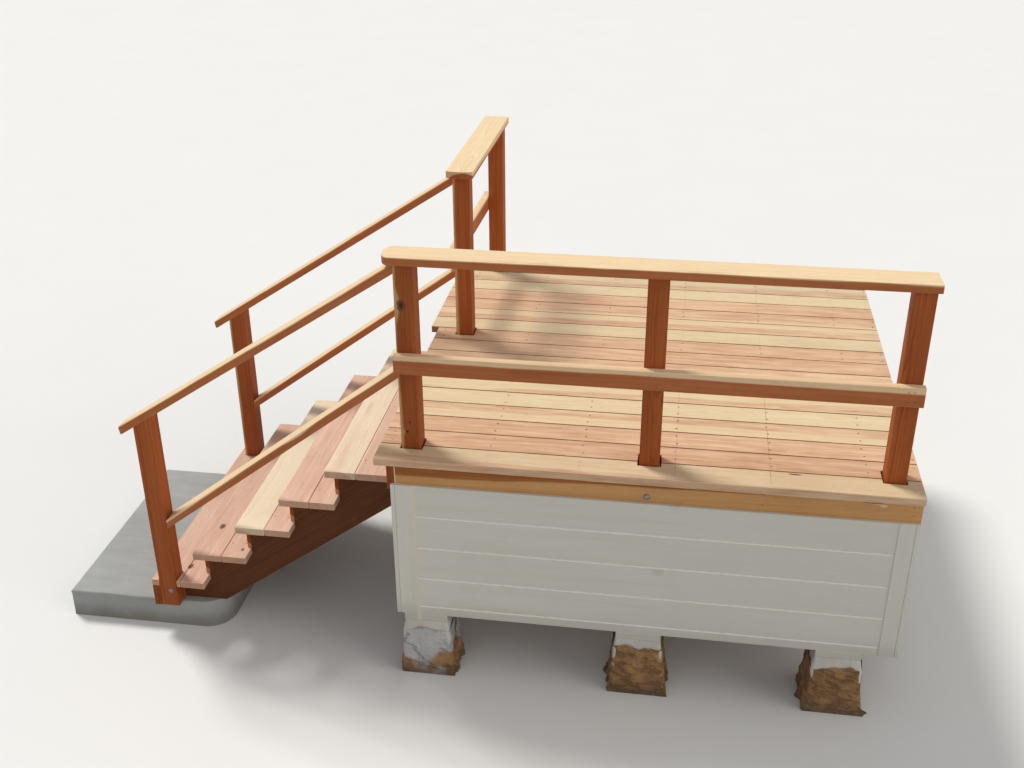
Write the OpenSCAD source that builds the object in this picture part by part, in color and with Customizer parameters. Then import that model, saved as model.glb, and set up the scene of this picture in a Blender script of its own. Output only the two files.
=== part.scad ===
// Small raised timber deck with a side flight of steps, guard rails,
// board skirts, square piers and a concrete landing pad.
// Lengths are in millimetres, +Z is up and the floor is at Z = 0.
// The origin is the middle of the footprint at floor level.

/* [Lumber] */
// Thickness of the two-inch lumber
plank = 38; // [36:1:40]
// Thickness of the one-inch lumber
thin = 19; // [17:1:22]
// Width of a deck board
board_width = 140; // [136:1:144]
// Gap between neighbouring boards
board_gap = 3; // [2:1:5]
// Side of a square post
post_size = 89; // [80:1:95]
// Width of a mid rail and of a handrail
rail_width = 89; // [80:1:95]

/* [Deck] */
// Length of the deck from the stair side to the far side
deck_length = 2364; // [2340:1:2500]
// How far the front edge stands out past the front rim
front_overhang = 36; // [30:1:45]
// How far the deck stands out past the left rim above the stairs
side_overhang = 66; // [60:1:75]
// How much further the rear boards reach on the stair side
rear_jog = 42; // [20:1:50]
// Depth of the rims and joists below the boards
rim_depth = 140; // [130:1:160]
// Centre of the first joist from the deck's stair-side edge
joist_start = 500; // [490:1:512]
// Centre of the last joist from the deck's far side
joist_end = 222; // [210:1:236]

/* [Guards] */
// Height of the post tops above the deck
guard_height = 877; // [820:1:950]
// Height of the level mid rails' underside above the deck
mid_rail_height = 382; // [378:1:420]
// Left side of the middle front post, in joist bays from the first joist
middle_post_bays = 1.62; // [1.56:0.004:1.68]
// Gap between the right front post and the deck's far edge
right_post_inset = 70; // [60:1:90]
// Left side of the post at the head of the stairs
head_post_x = 113; // [108:1:120]
// Front of the post at the head of the stairs
head_post_y = 1350; // [1340:1:1356]
// Left side of the rear post on the stair side
wall_post_x = 133; // [126:1:140]
// Clearance cut in the boards round a post
post_notch = 6; // [4:1:8]
// How far the front cap rail stands out past the left post
cap_left_reach = 50; // [44:1:60]
// How far the front cap rail stands out past the right post
cap_right_reach = 12; // [0:1:30]
// How far the bowed end of the front cap rail curves in at its corners
cap_bow = 38; // [25:1:50]
// Clip on the corners of the side cap rail's free end
cap_corner = 17; // [10:1:24]
// How far the front mid rail stands out past the outer posts
mid_rail_reach = 9; // [0:1:15]

/* [Stairs] */
// Height from one tread to the next
rise = 177.9; // [170:0.1:182]
// Distance from one nosing to the next
going = 237; // [230:1:250]
// How far a nosing stands out past its riser
nosing = 17; // [10:1:25]
// Width of a tread's front board
tread_board = 146; // [138:1:152]
// Gap between the two boards of a tread
tread_gap = 2; // [1:1:4]
// Near end of the treads from the deck's front edge
tread_near = 145; // [140:1:150]
// Length of the treads
tread_length = 1337; // [1320:1:1350]
// Depth of the top tread, from its nosing to the top riser's face
top_tread_depth = 328.6; // [315:0.1:345]
// Distance from the treads' ends in to the outer stringer faces
stringer_inset = 91; // [90:1:96]
// Depth of the stringers below the seat corners, at the foot
throat_foot = 169; // [155:1:185]
// Depth of the stringers below the seat corners, at the head
throat_head = 188; // [175:1:200]
// How much higher the near mid rail meets its post than the deck
near_mid_height = 345; // [330:1:360]
// How much higher the far mid rail meets its post than the deck
far_mid_height = 327; // [310:1:329]
// How far the near mid rail falls from its post to the newel
near_mid_drop = 925; // [890:1:950]
// How far the far mid rail falls from its post to the newel
far_mid_drop = 900; // [870:1:930]
// How far the handrails fall from their posts to the newels
handrail_drop = 795; // [760:1:820]
// How far the near handrail runs past its newel
near_handrail_reach = 76; // [60:1:95]
// How far the far handrail runs past its newel
far_handrail_reach = 89; // [60:1:95]
// Gap between the handrails' top and the cap rail's underside
handrail_gap = 1; // [1:1:6]
// Size of the clipped corners at the handrails' lower ends
handrail_clip = 13; // [6:1:16]

/* [Skirt] */
// Thickness of the front siding
siding = 16; // [14:1:17]
// Height of the skirt's lower edge above the floor
skirt_clear = 345; // [300:1:380]
// How far the skirt laps up over the front rim
skirt_lap = 35; // [25:1:45]
// Width of the front board of a skirt corner
corner_board = 89; // [80:1:100]

/* [Footings] */
// Side of the wooden blocks on the piers and of the piers' tops
pier_width = 205; // [190:1:210]
// Thickness of the wooden blocks
pier_block = 38; // [30:1:42]
// How far each side of a pier leans out below its block
pier_spread = 12; // [6:1:14]
// Height of the piers' leaning part
pier_lean = 60; // [40:1:100]
// Centre of the left piers from the deck's stair-side edge
left_pier_x = 203; // [196:1:212]
// Centre of the middle piers from the deck's stair-side edge
middle_pier_x = 1203; // [1190:1:1216]
// Centre of the right piers from the deck's far side
right_pier_inset = 258; // [246:1:274]
// Thickness of the landing pad
pad_thickness = 150; // [120:1:180]
// Height of the lowest tread above the landing pad
first_rise = 155.5; // [150:0.5:165]
// How far the landing pad reaches in front of the lowest nosing
pad_reach = 485; // [450:1:520]
// How far the landing pad reaches back under the stringers
pad_under = 350; // [346:1:370]
// Near side of the landing pad from the deck's front edge
pad_near = 190; // [180:1:200]
// Distance from the landing pad's far side to the treads' far ends
pad_inset = 67; // [50:1:80]
// Radius of the landing pad's rounded corner
pad_corner = 130; // [100:1:150]

/* [Hidden] */
$fn = 64;
tread_count = 5;
row_count = 17;
short_rows = 10;
bow_steps = 18;
joist_count = 5;

// Deck levels and edges
pitch = board_width + board_gap;
deck_depth = row_count * pitch - board_gap;
deck_top = pad_thickness + first_rise + tread_count * rise;
board_under = deck_top - plank;
rim_under = board_under - rim_depth;
rim_face = front_overhang;
ply_joint = rim_face + plank;
rim_back_face = deck_depth - plank;
post_front = ply_joint + plank;
joist_pitch = (deck_length - joist_start - joist_end) / (joist_count - 1);
rim_inner = side_overhang + plank;
rim_lap = side_overhang + plank / 2;
right_rim_x = deck_length - plank;
half_post = post_size / 2;

// Guard posts and rails
right_post_x = deck_length - right_post_inset - post_size;
middle_post_x = joist_start + middle_post_bays * joist_pitch;
front_post_xs = [rim_inner, middle_post_x, right_post_x];
wall_post_y = rim_back_face - post_size;
post_tops = deck_top + guard_height;
cap_width = board_width;
front_cap_y = post_front + half_post - cap_width / 2;
side_cap_reach = 47;
side_cap_y = head_post_y - side_cap_reach;
side_cap_x = head_post_x + half_post - cap_width / 2;
side_cap_skew = (wall_post_x - head_post_x) / 2;
side_mid_reach = 20;
side_mid_y = head_post_y - side_mid_reach;
mid_rail_z = deck_top + mid_rail_height;

// Stairs, counted from the pad upwards
fascia_face = side_overhang - thin;
function nose(i) = fascia_face - top_tread_depth - going * (tread_count - i);
function tread_top(i) = deck_top - rise * (tread_count + 1 - i);
function riser_face(i) = nose(i) + nosing;
newel_x = nose(1) + plank;
newel_right = newel_x + post_size;
newel_gap = 2;
pad_top = pad_thickness;
near_stringer = tread_near + stringer_inset;
tread_end = tread_near + tread_length;
far_stringer = tread_end - stringer_inset - plank;
centre_stringer = (near_stringer + far_stringer) / 2;
near_newel_y = near_stringer - post_size;
far_newel_y = far_stringer + plank;

// Handrails
handrail_rake = 8;
handrail_top = post_tops - handrail_gap;

// Skirt and footings
skirt_top = rim_under + skirt_lap;
corner_face = rim_face - thin;
siding_face = rim_face - siding;
left_corner_end = side_overhang + thin + corner_board;
right_corner_start = deck_length - corner_board;
corner_leg = 70;
nailer_width = 89;
hanger_depth = 235;
hanger_x = side_overhang + thin;
pier_xs = [left_pier_x, middle_pier_x, deck_length - right_pier_inset];
half_pier = pier_width / 2;
half_footing = half_pier + pier_spread;
pier_top = skirt_clear - pier_block;
front_pier_y = siding_face + half_pier;
back_pier_y = deck_depth - half_footing;
front_support_y = ply_joint;
back_support_y = deck_depth - thin - post_size;
pad_front_x = nose(1) - pad_reach;
pad_back_x = nose(1) + pad_under;

// Footprint middle
middle_x = (pad_front_x + deck_length) / 2;
middle_y = deck_depth / 2;
cut = 1;

timber = [0.74, 0.42, 0.24];
timber_pale = [0.86, 0.62, 0.40];
frame_brown = [0.42, 0.18, 0.10];
skirt_paint = [0.88, 0.87, 0.84];
concrete = [0.62, 0.61, 0.58];

// Moves a piece from the deck's corner to the footprint middle.
module placed() {
    translate([-middle_x, -middle_y, 0]) children();
}

// A block given by its lowest and highest corners.
module span(low, high) {
    translate(low) cube(high - low);
}

// A profile drawn in X and Z, run along Y from y0 to y1.
module along_y(points, y0, y1) {
    translate([0, y1, 0])
        rotate([90, 0, 0])
            linear_extrude(height = y1 - y0) polygon(points);
}

// A profile drawn in Y and Z, run along X from x0 to x1.
module along_x(points, x0, x1) {
    translate([x0, 0, 0])
        rotate([90, 0, 90])
            linear_extrude(height = x1 - x0) polygon(points);
}

// An outline drawn in X and Y, run up from z0 to z1.
module upright(points, z0, z1) {
    translate([0, 0, z0]) linear_extrude(height = z1 - z0) polygon(points);
}

// Deck boards first to last, before the post notches are cut.
module board_rows(first, last, x0) {
    for (k = [first:last])
        span([x0, (k - 1) * pitch, board_under],
            [deck_length, (k - 1) * pitch + board_width, deck_top]);
}

// One post notch through the boards.
module notch(x, y0, y1) {
    span([x - post_notch, y0, board_under - cut],
        [x + post_size + post_notch, y1, deck_top + cut]);
}

module post_notches() {
    for (x = front_post_xs)
        notch(x, post_front - post_notch,
            post_front + post_size + post_notch);
    notch(head_post_x, head_post_y - post_notch,
        head_post_y + post_size + post_notch);
    notch(wall_post_x, (row_count - 1) * pitch - cut,
        wall_post_y + post_size + post_notch);
}

module deck_boards(first, last, x0) {
    difference() {
        board_rows(first, last, x0);
        post_notches();
    }
}

module guard_post(x, y) {
    span([x, y, rim_under], [x + post_size, y + post_size, post_tops]);
}

// Side view of a pier whose middle is at m.
function pier_profile(m) = [[m - half_footing, 0], [m + half_footing, 0],
    [m + half_footing, pier_top - pier_lean], [m + half_pier, pier_top],
    [m - half_pier, pier_top], [m - half_footing, pier_top - pier_lean]];

// Square piers in a row, with sides that lean out below the top.
module pier_row(y) {
    for (x = pier_xs)
        intersection() {
            along_y(pier_profile(x), y - half_footing, y + half_footing);
            along_x(pier_profile(y), x - half_footing, x + half_footing);
        }
}

module block_row(y) {
    for (x = pier_xs)
        span([x - half_pier, y - half_pier, pier_top],
            [x + half_pier, y + half_pier, skirt_clear]);
}

module support_row(y) {
    for (x = pier_xs)
        span([x - half_post, y, skirt_clear],
            [x + half_post, y + post_size, rim_under]);
}

// Outline of a strip along X whose low-X end bows out.
function bowed_left(x0, x1, y0, y1) = concat(
    [for (k = [0:bow_steps])
        [x0 + cap_bow - cap_bow * cos(90 - 180 * k / bow_steps),
            (y0 + y1) / 2 + (y1 - y0) / 2 * sin(90 - 180 * k / bow_steps)]],
    [[x1, y0], [x1, y1]]);

// Seat level under tread i.
function seat(i) = tread_top(i) - plank;

stair_line = [for (i = [tread_count:-1:1])
    for (k = [0, 1])
        k == 0
            ? [i == tread_count ? side_overhang : riser_face(i + 1) + thin,
                seat(i)]
            : [i == 1 ? newel_x : riser_face(i) + thin, seat(i)]];
foot_base = seat(1) - throat_foot;
under_foot = [riser_face(2) + thin, foot_base];
under_head = [riser_face(tread_count) + thin,
    seat(tread_count - 1) - throat_head];
under_slope = (under_head[1] - under_foot[1])
    / (under_head[0] - under_foot[0]);
foot_x = under_foot[0] + (pad_top - under_foot[1]) / under_slope;
head_z = under_foot[1] + (side_overhang - under_foot[0]) * under_slope;

module stringer(y) {
    along_y(concat(stair_line, [[newel_x, pad_top], [foot_x, pad_top],
        [side_overhang, head_z]]), y, y + plank);
}

// A tread of two boards; the rear one ends at x_end.
module tread_boards(i, x_end) {
    x0 = nose(i);
    span([x0, tread_near, seat(i)],
        [x0 + tread_board, tread_end, tread_top(i)]);
    span([x0 + tread_board + tread_gap, tread_near, seat(i)],
        [x_end, tread_end, tread_top(i)]);
}

module plain_tread(i) {
    tread_boards(i, riser_face(i + 1) + thin);
}

// Slope of a rail that falls by drop from its post to the newel.
function rail_slope(post_x, drop) = drop / (post_x - newel_right);
// Height of a sloped rail's face at x, when it is z_head at its post.
function rail_level(x, post_x, z_head, slope) =
    z_head + (x - post_x) * slope;
// Height that a sloped rail of plank thickness takes up.
function rail_rise(slope) = plank * sqrt(1 + slope * slope);
// Middle of a sloped rail in plan, from newel to post.
function rail_middle(x, newel_y, post_x, post_y) =
    post_y + half_post + (newel_y - post_y)
    * (post_x - x) / (post_x - newel_x - half_post);

module handrail(newel_y, post_x, post_y, reach) {
    slope = rail_slope(post_x, handrail_drop);
    tip = newel_x - reach;
    x0 = tip - handrail_rake;
    y0 = rail_middle(x0, newel_y, post_x, post_y);
    y1 = post_y + half_post;
    h = rail_width / 2;
    c = handrail_clip;
    under = handrail_top - rail_rise(slope);
    intersection() {
        upright([[x0, y0 - h + c], [x0 + c, y0 - h], [post_x, y1 - h],
            [post_x, y1 + h], [x0 + c, y0 + h], [x0, y0 + h - c]],
            0, post_tops);
        along_y([[tip, rail_level(tip, post_x, under, slope)],
            [post_x, under], [post_x, handrail_top],
            [x0, rail_level(x0, post_x, handrail_top, slope)]],
            0, deck_depth);
    }
}

module stair_mid_rail(newel_y, post_x, post_y, height, drop) {
    slope = rail_slope(post_x, drop);
    thick = rail_rise(slope);
    y0 = rail_middle(newel_right, newel_y, post_x, post_y);
    y1 = post_y + half_post;
    h = rail_width / 2;
    z1 = deck_top + height;
    z0 = z1 - drop;
    intersection() {
        upright([[newel_right, y0 - h], [post_x, y1 - h],
            [post_x, y1 + h], [newel_right, y0 + h]], 0, post_tops);
        along_y([[newel_right, z0], [post_x, z1], [post_x, z1 + thick],
            [newel_right, z0 + thick]], 0, deck_depth);
    }
}

module newel(y, post_x) {
    slope = rail_slope(post_x, handrail_drop);
    z1 = handrail_top - rail_rise(slope) - handrail_drop;
    z0 = z1 - post_size * slope;
    along_y([[newel_x, pad_top], [newel_right, pad_top],
        [newel_right, z1], [newel_x, z0]], y, y + post_size);
}

module landing_pad() {
    r = pad_corner;
    x0 = pad_front_x;
    x1 = pad_back_x;
    y0 = pad_near;
    y1 = tread_end - pad_inset;
    color(concrete) placed() union() {
        span([x0, y0, 0], [x1 - r, y1, pad_top]);
        span([x1 - r, y0 + r, 0], [x1, y1, pad_top]);
        translate([x1 - r, y0 + r, 0]) cylinder(h = pad_top, r = r);
    }
}

module piers() {
    color(concrete) placed() {
        pier_row(front_pier_y);
        pier_row(back_pier_y);
    }
}

module pier_blocks() {
    color(skirt_paint) placed() {
        block_row(front_pier_y);
        block_row(back_pier_y);
    }
}

module pier_posts() {
    color(timber) placed() {
        support_row(front_support_y);
        support_row(back_support_y);
    }
}

module rim_front_outer() {
    color(timber) placed()
        span([rim_lap, rim_face, rim_under],
            [deck_length, ply_joint, board_under]);
}

module rim_front_inner() {
    color(timber) placed()
        span([rim_inner, ply_joint, rim_under],
            [deck_length, post_front, board_under]);
}

module rim_back() {
    color(timber) placed()
        span([side_overhang, rim_back_face, rim_under],
            [deck_length, deck_depth, board_under]);
}

module rim_left() {
    color(timber) placed()
        upright([[side_overhang, rim_face], [rim_lap, rim_face],
            [rim_lap, ply_joint], [rim_inner, ply_joint],
            [rim_inner, rim_back_face], [side_overhang, rim_back_face]],
            rim_under, board_under);
}

module rim_right() {
    color(timber) placed()
        span([right_rim_x, post_front, rim_under],
            [deck_length, rim_back_face, board_under]);
}

module floor_joists() {
    color(timber) placed()
        for (k = [0:joist_count - 1])
            span([joist_start + k * joist_pitch - plank / 2, post_front,
                rim_under], [joist_start + k * joist_pitch + plank / 2,
                rim_back_face, board_under]);
}

module post_blocking() {
    y0 = head_post_y + post_size;
    color(timber) placed()
        span([rim_inner, y0, rim_under],
            [joist_start - plank / 2, y0 + plank, board_under]);
}

module stringer_hanger() {
    color(timber) placed()
        span([hanger_x, post_front, rim_under - hanger_depth],
            [hanger_x + plank, rim_back_face, rim_under]);
}

module deck_front_board() {
    color(timber_pale) placed() deck_boards(1, 1, 0);
}

module deck_second_board() {
    color(timber_pale) placed() deck_boards(2, 2, 0);
}

module deck_boards_stair_side() {
    color(timber_pale) placed() deck_boards(3, short_rows, 0);
}

module deck_boards_wall_side() {
    color(timber_pale) placed()
        deck_boards(short_rows + 1, row_count, -rear_jog);
}

module front_post_left() {
    color(timber) placed() guard_post(front_post_xs[0], post_front);
}

module front_post_middle() {
    color(timber) placed() guard_post(front_post_xs[1], post_front);
}

module front_post_right() {
    color(timber) placed() guard_post(front_post_xs[2], post_front);
}

module stair_head_post() {
    color(timber) placed() guard_post(head_post_x, head_post_y);
}

module wall_post() {
    color(timber) placed() guard_post(wall_post_x, wall_post_y);
}

module front_cap_rail() {
    color(timber_pale) placed()
        upright(bowed_left(rim_inner - cap_left_reach,
            right_post_x + post_size + cap_right_reach, front_cap_y,
            front_cap_y + cap_width), post_tops, post_tops + plank);
}

module front_mid_rail() {
    color(timber_pale) placed()
        span([rim_inner - mid_rail_reach, ply_joint, mid_rail_z],
            [right_post_x + post_size + mid_rail_reach, post_front,
            mid_rail_z + rail_width]);
}

module side_cap_rail() {
    x0 = side_cap_x;
    x1 = side_cap_x + cap_width;
    y0 = side_cap_y;
    s = side_cap_skew;
    c = cap_corner;
    color(timber_pale) placed()
        upright([[x0, y0 + c], [x0 + c, y0 + c / 4], [x0 + cap_width / 2,
            y0], [x1 - c, y0 + c / 4], [x1, y0 + c], [x1 + s, deck_depth],
            [x0 + s, deck_depth]], post_tops, post_tops + plank);
}

module side_mid_rail() {
    a = head_post_x;
    b = wall_post_x;
    y0 = head_post_y + post_size;
    color(timber_pale) placed()
        upright([[a - plank, side_mid_y], [a, side_mid_y], [a, y0],
            [b, wall_post_y], [b, rim_back_face], [b - plank,
            rim_back_face], [b - plank, wall_post_y], [a - plank, y0]],
            mid_rail_z, mid_rail_z + rail_width);
}

module stringer_near() {
    color(frame_brown) placed() stringer(near_stringer);
}

module stringer_centre() {
    color(frame_brown) placed() stringer(centre_stringer);
}

module stringer_far() {
    color(frame_brown) placed() stringer(far_stringer);
}

module tread_1() {
    c = newel_gap;
    color(timber_pale) placed() difference() {
        plain_tread(1);
        span([newel_x - c, tread_near - cut, seat(1) - cut],
            [newel_right + c, near_stringer + c, tread_top(1) + cut]);
        span([newel_x - c, far_newel_y - c, seat(1) - cut],
            [newel_right + c, tread_end + cut, tread_top(1) + cut]);
    }
}

module tread_2() {
    color(timber_pale) placed() plain_tread(2);
}

module tread_3() {
    color(timber_pale) placed() plain_tread(3);
}

module tread_4() {
    color(timber_pale) placed() plain_tread(4);
}

module tread_5() {
    color(timber_pale) placed() tread_boards(5, side_overhang);
}

module bottom_riser() {
    color(timber) placed()
        span([nose(1), tread_near, pad_top], [newel_x, tread_end, seat(1)]);
}

module risers() {
    color(timber) placed()
        for (i = [2:tread_count])
            span([riser_face(i), near_stringer, tread_top(i - 1)],
                [riser_face(i) + thin, far_newel_y, seat(i)]);
}

module top_riser() {
    color(timber) placed()
        span([fascia_face, rim_face, tread_top(tread_count)],
            [side_overhang, tread_end, board_under]);
}

module newel_near() {
    color(timber) placed() newel(near_newel_y, front_post_xs[0]);
}

module newel_far() {
    color(timber) placed() newel(far_newel_y, head_post_x);
}

module handrail_near() {
    color(timber_pale) placed()
        handrail(near_newel_y, front_post_xs[0], post_front,
            near_handrail_reach);
}

module handrail_far() {
    color(timber_pale) placed()
        handrail(far_newel_y, head_post_x, head_post_y,
            far_handrail_reach);
}

module stair_mid_rail_near() {
    color(timber_pale) placed()
        stair_mid_rail(near_newel_y, front_post_xs[0], post_front,
            near_mid_height, near_mid_drop);
}

module stair_mid_rail_far() {
    color(timber_pale) placed()
        stair_mid_rail(far_newel_y, head_post_x, head_post_y,
            far_mid_height, far_mid_drop);
}

module skirt_front() {
    color(skirt_paint) placed()
        span([left_corner_end, siding_face, skirt_clear],
            [right_corner_start, rim_face, skirt_top]);
}

module skirt_left() {
    color(skirt_paint) placed()
        span([side_overhang, rim_face + corner_leg, skirt_clear],
            [hanger_x, rim_back_face, rim_under]);
}

module skirt_right() {
    color(skirt_paint) placed()
        span([deck_length - thin, rim_face + corner_leg, skirt_clear],
            [deck_length, rim_back_face, rim_under]);
}

module skirt_corner_left() {
    color(skirt_paint) placed() union() {
        span([side_overhang, corner_face, skirt_clear],
            [left_corner_end, rim_face, skirt_top]);
        span([side_overhang, corner_face, skirt_clear],
            [hanger_x, rim_face + corner_leg, rim_under]);
    }
}

module skirt_corner_right() {
    color(skirt_paint) placed() union() {
        span([right_corner_start, corner_face, skirt_clear],
            [deck_length, rim_face, skirt_top]);
        span([deck_length - thin, corner_face, skirt_clear],
            [deck_length, rim_face + corner_leg, rim_under]);
    }
}

module skirt_nailer_front() {
    color(timber) placed()
        span([hanger_x, rim_face, skirt_clear],
            [deck_length - thin, ply_joint, skirt_clear + nailer_width]);
}

module skirt_nailers_side() {
    color(timber) placed()
        for (x = [hanger_x, deck_length - thin - plank])
            span([x, ply_joint, skirt_clear],
                [x + plank, rim_back_face, skirt_clear + nailer_width]);
}

landing_pad();
piers();
pier_blocks();
pier_posts();
rim_front_outer();
rim_front_inner();
rim_back();
rim_left();
rim_right();
floor_joists();
post_blocking();
stringer_hanger();
deck_front_board();
deck_second_board();
deck_boards_stair_side();
deck_boards_wall_side();
front_post_left();
front_post_middle();
front_post_right();
stair_head_post();
wall_post();
front_cap_rail();
front_mid_rail();
side_cap_rail();
side_mid_rail();
stringer_near();
stringer_centre();
stringer_far();
tread_1();
tread_2();
tread_3();
tread_4();
tread_5();
bottom_riser();
risers();
top_riser();
newel_near();
newel_far();
handrail_near();
handrail_far();
stair_mid_rail_near();
stair_mid_rail_far();
skirt_front();
skirt_left();
skirt_right();
skirt_corner_left();
skirt_corner_right();
skirt_nailer_front();
skirt_nailers_side();
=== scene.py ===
import random
from math import copysign, cos, pi, radians, sin, sqrt

import bmesh
import bpy
from mathutils import Matrix, Vector, noise


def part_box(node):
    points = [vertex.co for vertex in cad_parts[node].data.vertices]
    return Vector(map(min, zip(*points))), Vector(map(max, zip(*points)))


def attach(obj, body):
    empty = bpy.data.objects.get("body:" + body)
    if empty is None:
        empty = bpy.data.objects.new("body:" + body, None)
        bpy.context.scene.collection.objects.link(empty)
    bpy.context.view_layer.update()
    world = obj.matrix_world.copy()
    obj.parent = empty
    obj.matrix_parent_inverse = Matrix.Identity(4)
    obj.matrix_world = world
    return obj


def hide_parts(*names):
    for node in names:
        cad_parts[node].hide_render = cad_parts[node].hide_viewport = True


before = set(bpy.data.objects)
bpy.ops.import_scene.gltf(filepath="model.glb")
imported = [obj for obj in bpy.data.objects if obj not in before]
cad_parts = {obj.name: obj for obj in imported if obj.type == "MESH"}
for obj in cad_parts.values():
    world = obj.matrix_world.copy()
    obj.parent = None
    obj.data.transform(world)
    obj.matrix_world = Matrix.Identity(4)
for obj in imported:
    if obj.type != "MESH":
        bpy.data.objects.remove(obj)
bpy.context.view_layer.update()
rng = random.Random(41)


def jitter(span):
    return rng.uniform(-span, span)



# Sizes are in millimetres in the deck's own frame: X from the deck's corner
# at the stair side, Y from its front edge, Z from the floor. The driving
# sizes come from the frame.
CORNER = Vector(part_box("deck_front_board")[0]) * 1000


def extent(node):
    """x0, x1, y0, y1, z0, z1 of a CAD node."""
    lo, hi = (Vector(v) * 1000 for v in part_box(node))
    return (lo.x - CORNER.x, hi.x - CORNER.x, lo.y - CORNER.y, hi.y - CORNER.y, lo.z, hi.z)


def at(x, y, z):
    """A point of the deck's frame in the scene, in metres."""
    return Vector(((x + CORNER.x) / 1000, (y + CORNER.y) / 1000, z / 1000))


_, LENGTH, _, BOARD, UNDER, TOP = extent("deck_front_board")
DEPTH = extent("deck_boards_wall_side")[3]
PLANK, THIN, BOARD_GAP = TOP - UNDER, 19.0, 3.0
PITCH = BOARD + BOARD_GAP
_, _, RIM_FACE, _, RIM_UNDER, _ = extent("rim_front_outer")
POST, POST_FRONT = 89.0, extent("front_post_left")[2]
TOPS = extent("front_post_left")[5]
FRONT_POSTS = [extent(f"front_post_{n}")[0] for n in ("left", "middle", "right")]
HEAD_X, _, HEAD_Y = extent("stair_head_post")[:3]
WALL_X, _, WALL_Y = extent("wall_post")[:3]
NEWEL_X, NEWEL_R = extent("newel_near")[:2]
PAD_TOP = extent("landing_pad")[5]
SKIRT_LOW = extent("skirt_front")[4]
NOSES = [extent(f"tread_{i}")[0] for i in range(1, 6)]
TREAD_TOPS = [extent(f"tread_{i}")[5] for i in range(1, 6)]
NOSING = 17.0
JOISTS = [500.0 + 410.5 * k for k in range(5)]
X, Y, Z = Vector((1, 0, 0)), Vector((0, 1, 0)), Vector((0, 0, 1))
# Grain direction, then the two directions across it.
AXES = {"x": (X, Y, Z), "y": (Y, X, Z), "z": (Z, X, Y)}


def prism(bm, outline, plane, low, high):
    """Closes an outline drawn in two axes into a block along the third."""
    third = ({0, 1, 2} - set(plane)).pop()

    def point(a, b, c):
        v = [0.0, 0.0, 0.0]
        v[plane[0]], v[plane[1]], v[third] = a, b, c
        return bm.verts.new(at(*v))

    skin(bm, [[point(a, b, c) for a, b in outline] for c in (low, high)])


def skin(bm, rows, closed=True, caps=True):
    """Joins rows of vertices into a surface."""
    for a, b in zip(rows, rows[1:]):
        n = len(a)
        for i in range(n if closed else n - 1):
            j = (i + 1) % n
            bm.faces.new((a[i], a[j], b[j], b[i]))
    if caps:
        bm.faces.new(rows[0])
        bm.faces.new(rows[-1])
    bmesh.ops.recalc_face_normals(bm, faces=bm.faces)


def rect(x0, x1, y0, y1):
    return [(x0, y0), (x1, y0), (x1, y1), (x0, y1)]


def arc(start, end, steps):
    """Angles from start to end, given in degrees."""
    return [radians(start + (end - start) * k / steps) for k in range(steps + 1)]


def ease(bm, radius, segments=2, pick=None, limit=0.5):
    """Rounds the sharp edges that pick accepts; radius in millimetres."""
    edges = [e for e in bm.edges if len(e.link_faces) == 2
        and e.calc_face_angle(0.0) > limit and (not pick or pick(e))]
    bmesh.ops.bevel(bm, geom=edges, offset=radius / 1000, segments=segments, profile=0.5,
        affect="EDGES", clamp_overlap=True)


def slice_along(bm, u, step):
    """Cuts the mesh across direction u every step metres."""
    ds = [p.co.dot(u) for p in bm.verts]
    lo, hi = min(ds), max(ds)
    n = int((hi - lo) / step)
    for k in range(1, n + 1):
        bmesh.ops.bisect_plane(bm, geom=bm.verts[:] + bm.edges[:] + bm.faces[:], dist=1e-6,
            plane_co=u * (lo + (hi - lo) * k / (n + 1)), plane_no=u)


def centre(bm):
    """The middle of a mesh's box."""
    lo, hi = (Vector([end(p.co[k] for p in bm.verts) for k in range(3)]) for end in (min, max))
    return (lo + hi) / 2


def shrink(bm, u, amount, seed):
    """Uneven planing: pulls the faces in by up to amount millimetres."""
    mid = centre(bm)
    for p in bm.verts:
        pull = noise.noise_vector(Vector((p.co.dot(u) * 1.3, seed * 7.3, 1.7)))
        for k in range(3):
            d = p.co[k] - mid[k]
            if abs(u[k]) < 0.9 and abs(d) > 0.004:
                p.co[k] -= copysign((1 + pull[k]) * amount / 2000, d)


def add_object(name, data):
    ob = bpy.data.objects.new(name, data)
    bpy.context.scene.collection.objects.link(ob)
    return ob


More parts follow.
